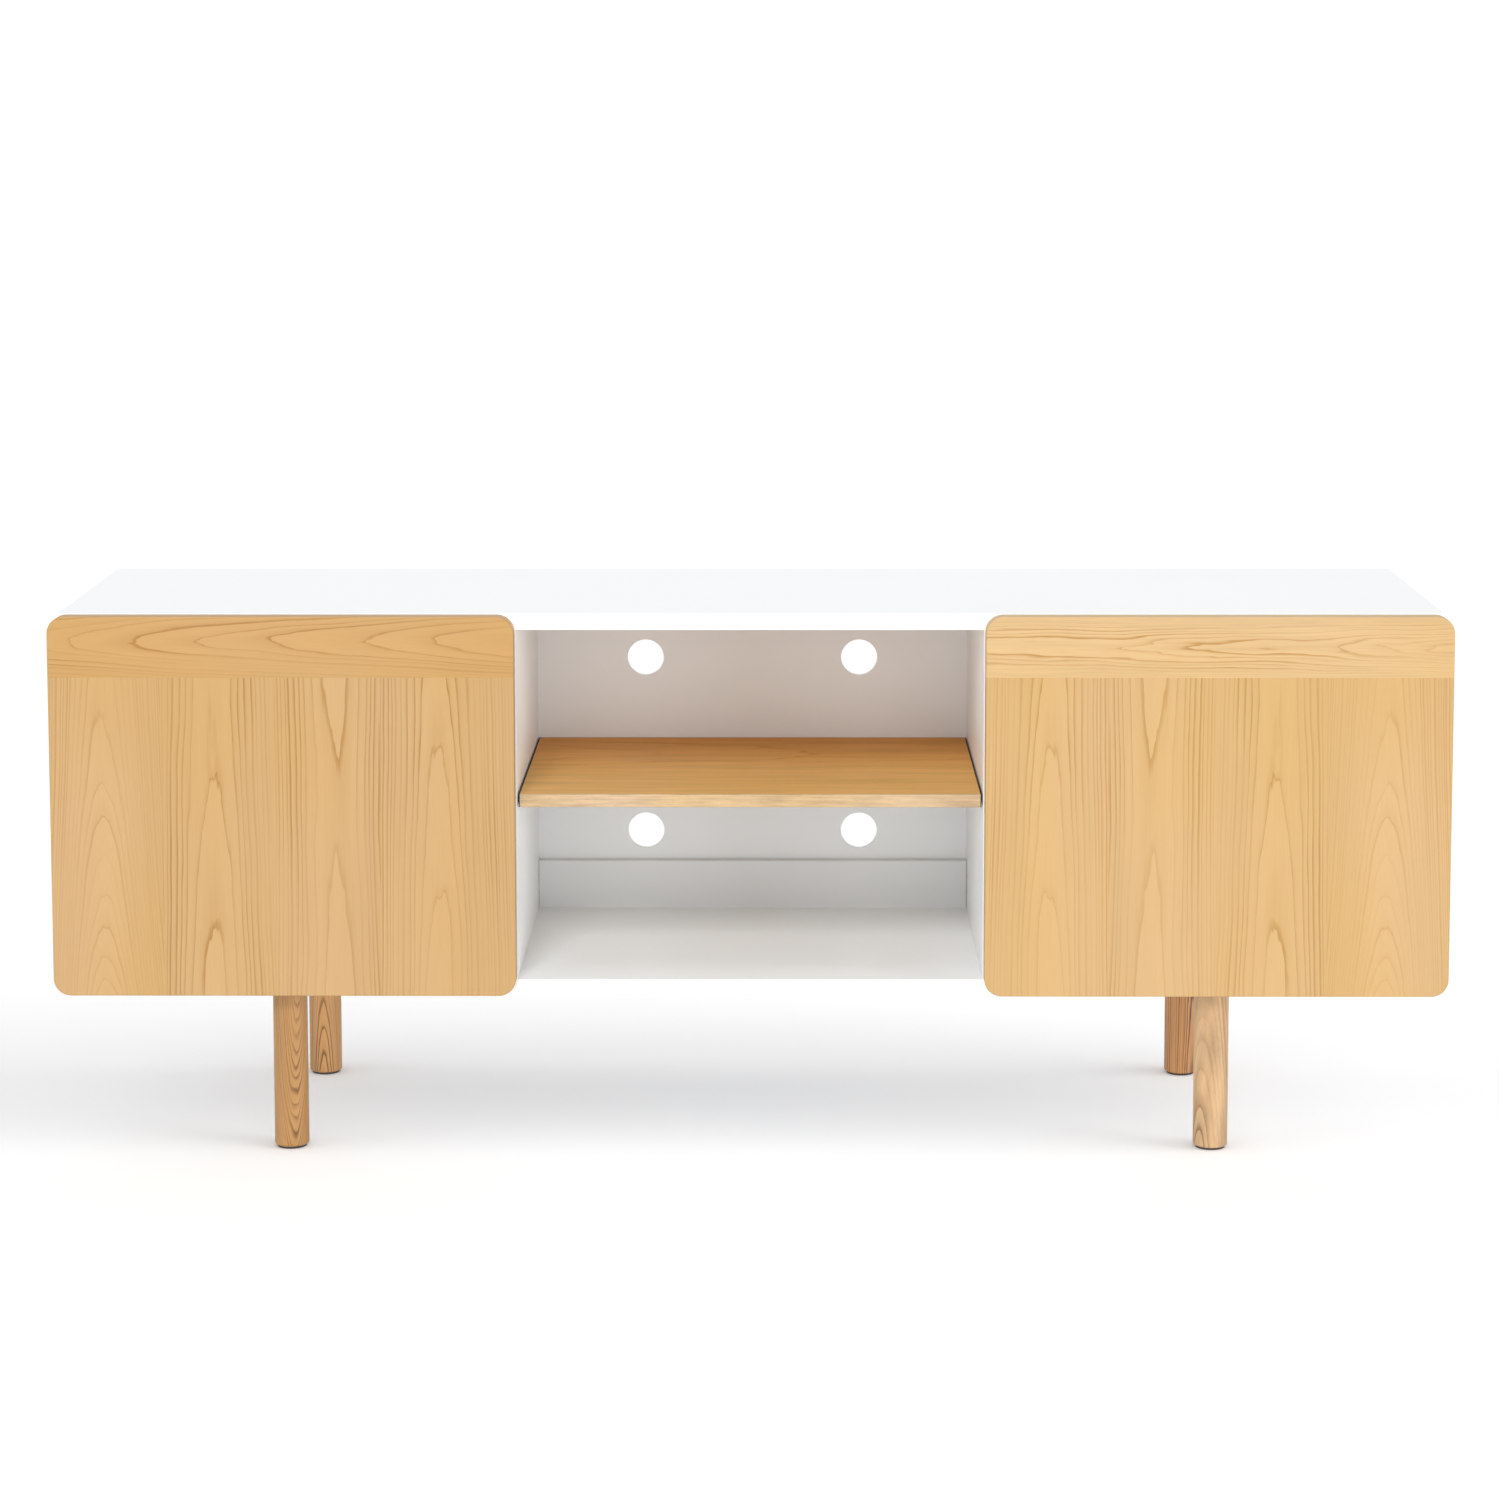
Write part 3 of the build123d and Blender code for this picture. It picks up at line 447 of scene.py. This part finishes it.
# shelf in the open bay, and the solid lipping along its front edge
shelfLook = {
    "ring": 0.0042, "width": 0.0035, "wander": 0.006,
    "contrast": 0.3, "fibre": 0.3, "streak": 0.4, "seed": 12.2, "shine": 0.03,
    "pale": (0.67, 0.365, 0.1), "line": (0.42, 0.185, 0.04), "relief": 0.00006,
    "cut": {"Centre": 0.09, "Depth": 0.03, "Waist": 0.0, "Slope": 0.02, "Bow": 0.0},
    "stretch": (1.0, 1.0, 1.0),
    # painted light and shade: the shelf is paler at the front as a painted sheen, and darker and deeper in
    # tone towards the rear as painted shade
    "paintedLightFrontTint": (1.06, 1.13, 1.36), "paintedShadeRearTint": (1.0, 0.8, 0.58),
    "paintedShadeOnset": 0.2,  # of the depth; from there a painted shade deepens towards the rear
    "underside": (0.66, 0.55, 0.42), "undersideFacing": (-0.9, -0.5),  # the plain backing veneer
}
lippingLook = {
    "ring": 0.0006, "width": 0.0006, "wander": 0.002,
    "contrast": 0.8, "fibre": 0.8, "streak": 0.3, "seed": 15.9, "shine": 0.4,
    "pale": (0.508, 0.359, 0.207), "line": (0.306, 0.174, 0.069), "relief": 0.00006,
    "cut": {"Centre": 0.05, "Depth": 0.01, "Waist": 0.0, "Slope": 0.004, "Bow": 0.0},
    "stretch": (0.35, 0.35, 2.0),
}
# painted shade: the shelf and its lipping are near black at each end, for the shadow in the gap there
shelfPaintedEndShade = {"colour": (0.03, 0.022, 0.016), "band": 0.0012}  # metres


def shelfLog(tree, axes, look):
    log = cutLog(tree, axes["Y"], axes["X"], axes["Z"], look["cut"])
    return vectorCalc(tree, "MULTIPLY", log, look["stretch"])


def paintEndShade(tree, shader, axes, wood, ends):
    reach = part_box("centre_shelf")[1].x - ends["band"]
    feeds = {"Wood": wood, "Ends": opaque(ends["colour"]), "Along": axes["X"], "Reach": reach}
    tree.links.new(placeGroup(tree, paintedEndShade, feeds)["Colour"], shader.inputs["Base Color"])


def makeShelfVeneer(look, ends):
    material, tree, shader, place = startMaterial("shelfVeneer")
    axes = split(tree, place)
    skin = finishWood(tree, shader, shelfLog(tree, axes, look), look)
    low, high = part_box("centre_shelf")
    # painted light and shade: paler at the front, darker towards the rear
    paintedShadeFrom = low.y + (high.y - low.y) * look["paintedShadeOnset"]
    rear = remap(tree, axes["Y"], paintedShadeFrom, high.y, smooth=True)
    tint = mixVector(tree, rear, look["paintedLightFrontTint"], look["paintedShadeRearTint"])
    upper = vectorCalc(tree, "MULTIPLY", skin["Colour"], tint)
    upward = split(tree, put(tree, "ShaderNodeNewGeometry").outputs["Normal"])["Z"]
    below = remap(tree, upward, *look["undersideFacing"], 1.0, 0.0)
    wood = mixColour(tree, below, upper, opaque(look["underside"]))
    paintEndShade(tree, shader, axes, wood, ends)
    return material


def makeLipping(look, ends):
    material, tree, shader, place = startMaterial("lippingAsh")
    axes = split(tree, place)
    skin = finishWood(tree, shader, shelfLog(tree, axes, look), look)
    paintEndShade(tree, shader, axes, skin["Colour"], ends)
    return material


# legs turned from solid ash, each from its own billet; their tones are partly their own wood and partly
# painted shade, with the rear legs darker as painted shade
legLook = {"fibre": 0.3, "shine": 0.4, "relief": 0.00008}
legBilletsAndShade = {  # the heart of the log is given in metres from the middle of the leg
    "left_front": {
        "heart": (0.015, 0.050), "slope": -0.15, "ring": 0.0021, "width": 0.0033, "wander": 0.009,
        "contrast": 1.6, "streak": 0.3, "seed": 21.0,
        "pale": (0.372, 0.197, 0.069), "line": (0.165, 0.069, 0.0185),
    },
    # painted shade: the rear legs, this one and right_rear, have darker pale and line colours
    "left_rear": {
        "heart": (0.001, 0.060), "slope": 0.05, "ring": 0.0016, "width": 0.0028, "wander": 0.006,
        "contrast": 2.2, "streak": 0.4, "seed": 24.5,
        "pale": (0.497, 0.265, 0.106), "line": (0.185, 0.081, 0.0243),
    },
    "right_front": {
        "heart": (-0.046, 0.0386), "slope": 0.18, "ring": 0.0050, "width": 0.0045, "wander": 0.004,
        "contrast": 1.8, "streak": 1.0, "seed": 27.3,
        "pale": (0.49, 0.32, 0.183), "line": (0.204, 0.097, 0.039),
    },
    "right_rear": {
        "heart": (0.035, 0.035), "slope": 0.035, "ring": 0.0030, "width": 0.003, "wander": 0.012,
        "contrast": 2.0, "streak": 0.5, "seed": 31.8,
        "pale": (0.49, 0.232, 0.081), "line": (0.112, 0.0425, 0.0125),
    },
}


def makeLegWood(leg, billet):
    material, tree, shader, place = startMaterial("ashLeg_" + leg)
    low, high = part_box(leg + "_leg")
    middle = (low + high) / 2
    heartX, heartY = billet["heart"]
    cut = {
        "Centre": middle.x + heartX, "Depth": heartY - middle.y,
        "Waist": 0.0, "Slope": billet["slope"], "Bow": 0.0,
    }
    axes = split(tree, place)
    log = cutLog(tree, axes["X"], axes["Z"], axes["Y"], cut)
    finishWood(tree, shader, log, {**legLook, **billet})
    return material


# beech of the dowels
beechLook = {
    "ring": 0.003, "width": 0.0015, "wander": 0.003,
    "contrast": 0.35, "fibre": 0.12, "streak": 0.1, "seed": 41.0, "shine": 0.3,
    "pale": (0.6, 0.4, 0.22), "line": (0.45, 0.27, 0.13), "relief": 0.00004,
}


def makeBeech(look):
    material, tree, shader, place = startMaterial("beech")
    finishWood(tree, shader, place, look)
    return material


# white lacquer: the floor of the bay is painted whiter as painted light, and the rail at its rear greyer as
# painted shade
paintLooks = {
    "carcassLacquer": {"paint": (0.868, 0.88, 0.89), "gloss": 0.42, "relief": 0.00001},
    "floorLacquerPaintedLight": {"paint": (0.935, 0.95, 0.965), "gloss": 0.42, "relief": 0.00001},
    "railLacquerPaintedShade": {"paint": (0.78, 0.788, 0.795), "gloss": 0.46, "relief": 0.00001},
}


def makeLacquer(name, look):
    material, tree, shader, place = startMaterial(name)
    feeds = {"Place": place, "Paint": opaque(look["paint"]), "Gloss": look["gloss"]}
    coverShader(tree, shader, placeGroup(tree, lacquerSkin, feeds), look["relief"])
    return material


# metal of the fittings; streaks are in waves per metre
metalRelief = 0.00001
metalLooks = {
    "zincSteel": {"metal": (0.62, 0.64, 0.66), "gloss": 0.3, "streaks": (90.0, 90.0, 1400.0)},
    "nickelSteel": {"metal": (0.6, 0.58, 0.55), "gloss": 0.24, "streaks": (1300.0, 70.0, 1300.0)},
    "castZinc": {"metal": (0.46, 0.46, 0.47), "gloss": 0.46, "streaks": (420.0, 420.0, 420.0)},
}


def makeMetal(name, look):
    material, tree, shader, place = startMaterial(name)
    feeds = {
        "Place": place, "Metal": opaque(look["metal"]),
        "Gloss": look["gloss"], "Streaks": look["streaks"],
    }
    shader.inputs["Metallic"].default_value = 1.0
    coverShader(tree, shader, placeGroup(tree, platedSkin, feeds), metalRelief)
    return material


# plastic of the glides, latches and bumpers
plasticRelief = 0.00002
plasticLooks = {
    "glideNylon": {"tint": (0.03, 0.027, 0.024), "gloss": 0.55, "clear": 0.0},
    "latchGrey": {"tint": (0.36, 0.37, 0.38), "gloss": 0.45, "clear": 0.0},
    "plungerWhite": {"tint": (0.78, 0.78, 0.76), "gloss": 0.38, "clear": 0.0},
    "bumperClear": {"tint": (0.86, 0.86, 0.83), "gloss": 0.3, "clear": 0.55},
}


def makePlastic(name, look):
    material, tree, shader, place = startMaterial(name)
    feeds = {"Place": place, "Tint": opaque(look["tint"]), "Gloss": look["gloss"]}
    shader.inputs["Transmission Weight"].default_value = look["clear"]
    coverShader(tree, shader, placeGroup(tree, mouldedSkin, feeds), plasticRelief)
    return material


# each material, and the pieces that it covers
def dress(material, *names):
    for name in names:
        for slot in nodes[name].material_slots:
            slot.material = material


def bothSides(*names):
    return [f"{side}_{name}" for side in ("left", "right") for name in names]


def dressDoor(side, doorLook, railLook):
    dress(makeDoorVeneer(side, doorLook, doorLeaves), f"{side}_door_panel")
    dress(makeRailWood(side, railLook), f"{side}_door_top_rail")


paints = {name: makeLacquer(name, look) for name, look in paintLooks.items()}
dress(paints["carcassLacquer"], "top_panel", "back_panel",
      *bothSides("side_panel", "divider", "cupboard_shelf"))
dress(paints["floorLacquerPaintedLight"], "bottom_panel")
dress(paints["railLacquerPaintedShade"], "rear_rail")
dressDoor("left", leftDoorLook, leftRailLook)
dressDoor("right", rightDoorLook, rightRailLook)
dress(makeShelfVeneer(shelfLook, shelfPaintedEndShade), "centre_shelf")
dress(makeLipping(lippingLook, shelfPaintedEndShade), "centre_shelf_lipping")
for leg, billet in legBilletsAndShade.items():
    dress(makeLegWood(leg, billet), leg + "_leg")
dress(makeBeech(beechLook), "dowels")
metals = {name: makeMetal(name, look) for name, look in metalLooks.items()}
dress(metals["zincSteel"], "back_panel_screws", "cam_bolts", "leg_plates", "leg_plate_screws", "leg_bolts",
      *bothSides("strike_disc"))
dress(metals["nickelSteel"], "centre_shelf_pins", "cupboard_shelf_pins",
      *bothSides("hinge_arms", "arm_pins", "hinge_plates", "hinge_plate_screws", "hinge_links", "hinge_cups",
                 "cup_pins", "cup_screws", "latch_screws"))
dress(metals["castZinc"], "cam_discs")
plastics = {name: makePlastic(name, look) for name, look in plasticLooks.items()}
dress(plastics["glideNylon"], "foot_glides")
dress(plastics["latchGrey"], *bothSides("latch_body"))
dress(plastics["plungerWhite"], *bothSides("latch_plunger"))
dress(plastics["bumperClear"], *bothSides("door_bumpers"))
print("materials:", len(bpy.data.materials))


# studio: a white surround, a pale floor and soft lights
white = opaque((1.0, 1.0, 1.0))
skySettings = {"light": 0.35, "seen": 1.05}  # the surround looks whiter than it lights


def makeSky(settings):
    scene = bpy.context.scene
    scene.view_settings.view_transform = "Standard"
    scene.world = bpy.data.worlds.new("studio")
    scene.world.use_nodes = True
    tree = scene.world.node_tree
    sky = tree.nodes["Background"]
    sky.inputs["Color"].default_value = white
    seen = put(tree, "ShaderNodeLightPath").outputs["Is Camera Ray"]
    strength = remap(tree, seen, 0.0, 1.0, settings["light"], settings["seen"])
    tree.links.new(strength, sky.inputs["Strength"])


floorSettings = {"half": 30.0, "colour": (0.98, 0.98, 0.98), "roughness": 0.9, "glow": 0.09}


def makeFloor(settings):
    half = settings["half"]
    corners = [(-half, -half, 0.0), (half, -half, 0.0), (half, half, 0.0), (-half, half, 0.0)]
    mesh = bpy.data.meshes.new("floor")
    mesh.from_pydata(corners, [], [(0, 1, 2, 3)])
    floor = bpy.data.objects.new("floor", mesh)
    bpy.context.scene.collection.objects.link(floor)
    paper = bpy.data.materials.new("paleFloor")
    paper.use_nodes = True
    shader = paper.node_tree.nodes["Principled BSDF"]
    shader.inputs["Base Color"].default_value = opaque(settings["colour"])
    shader.inputs["Roughness"].default_value = settings["roughness"]
    shader.inputs["Emission Color"].default_value = white
    shader.inputs["Emission Strength"].default_value = settings["glow"]
    mesh.materials.append(paper)
    return floor


# spread, heading and height are in degrees; a heading of 0 shines from the front, and of 90 from the right
studioLights = {
    "keyLight": {"on": "object", "strength": 1.36, "spread": 18.0, "heading": -8.0, "height": 36.0},
    "frontLight": {"on": "object", "strength": 0.54, "spread": 40.0, "heading": 0.0, "height": 5.0},
    "leftLight": {"on": "object", "strength": 0.77, "spread": 40.0, "heading": -55.0, "height": 2.0},
    "rightLight": {"on": "object", "strength": 1.12, "spread": 40.0, "heading": 55.0, "height": 2.0},
    "topLight": {"on": "object", "strength": 1.1, "spread": 60.0, "heading": 180.0, "height": 86.0},
    "backLight": {"on": "object", "strength": 0.3, "spread": 40.0, "heading": 180.0, "height": 12.0},
    # the floor has lights of its own, so that the shadow lies under the cabinet and trails to the left
    "floorLight": {"on": "floor", "strength": 1.2, "spread": 100.0, "heading": 0.0, "height": 82.0},
    "floorLeftLight": {"on": "floor", "strength": 0.45, "spread": 40.0, "heading": -80.0, "height": 25.0},
    "floorRightLight": {"on": "floor", "strength": 1.5, "spread": 40.0, "heading": 80.0, "height": 25.0},
}


def makeLights(lights, floor):
    # what each light falls on: the floor alone, or everything but the floor
    reach = {target: bpy.data.collections.new(target + "Reach") for target in ("object", "floor")}
    for collection in reach.values():
        collection.objects.link(floor)
    reach["object"].collection_objects[0].light_linking.link_state = "EXCLUDE"
    for name, lamp in lights.items():
        data = bpy.data.lights.new(name, "SUN")
        data.energy = lamp["strength"]
        data.angle = math.radians(lamp["spread"])
        light = bpy.data.objects.new(name, data)
        light.rotation_euler = (math.radians(90.0 - lamp["height"]), 0.0, math.radians(lamp["heading"]))
        light.light_linking.receiver_collection = reach[lamp["on"]]
        if lamp["on"] == "object":
            light.light_linking.blocker_collection = reach["object"]
        bpy.context.scene.collection.objects.link(light)


makeSky(skySettings)
makeLights(studioLights, makeFloor(floorSettings))
print("studio lit")
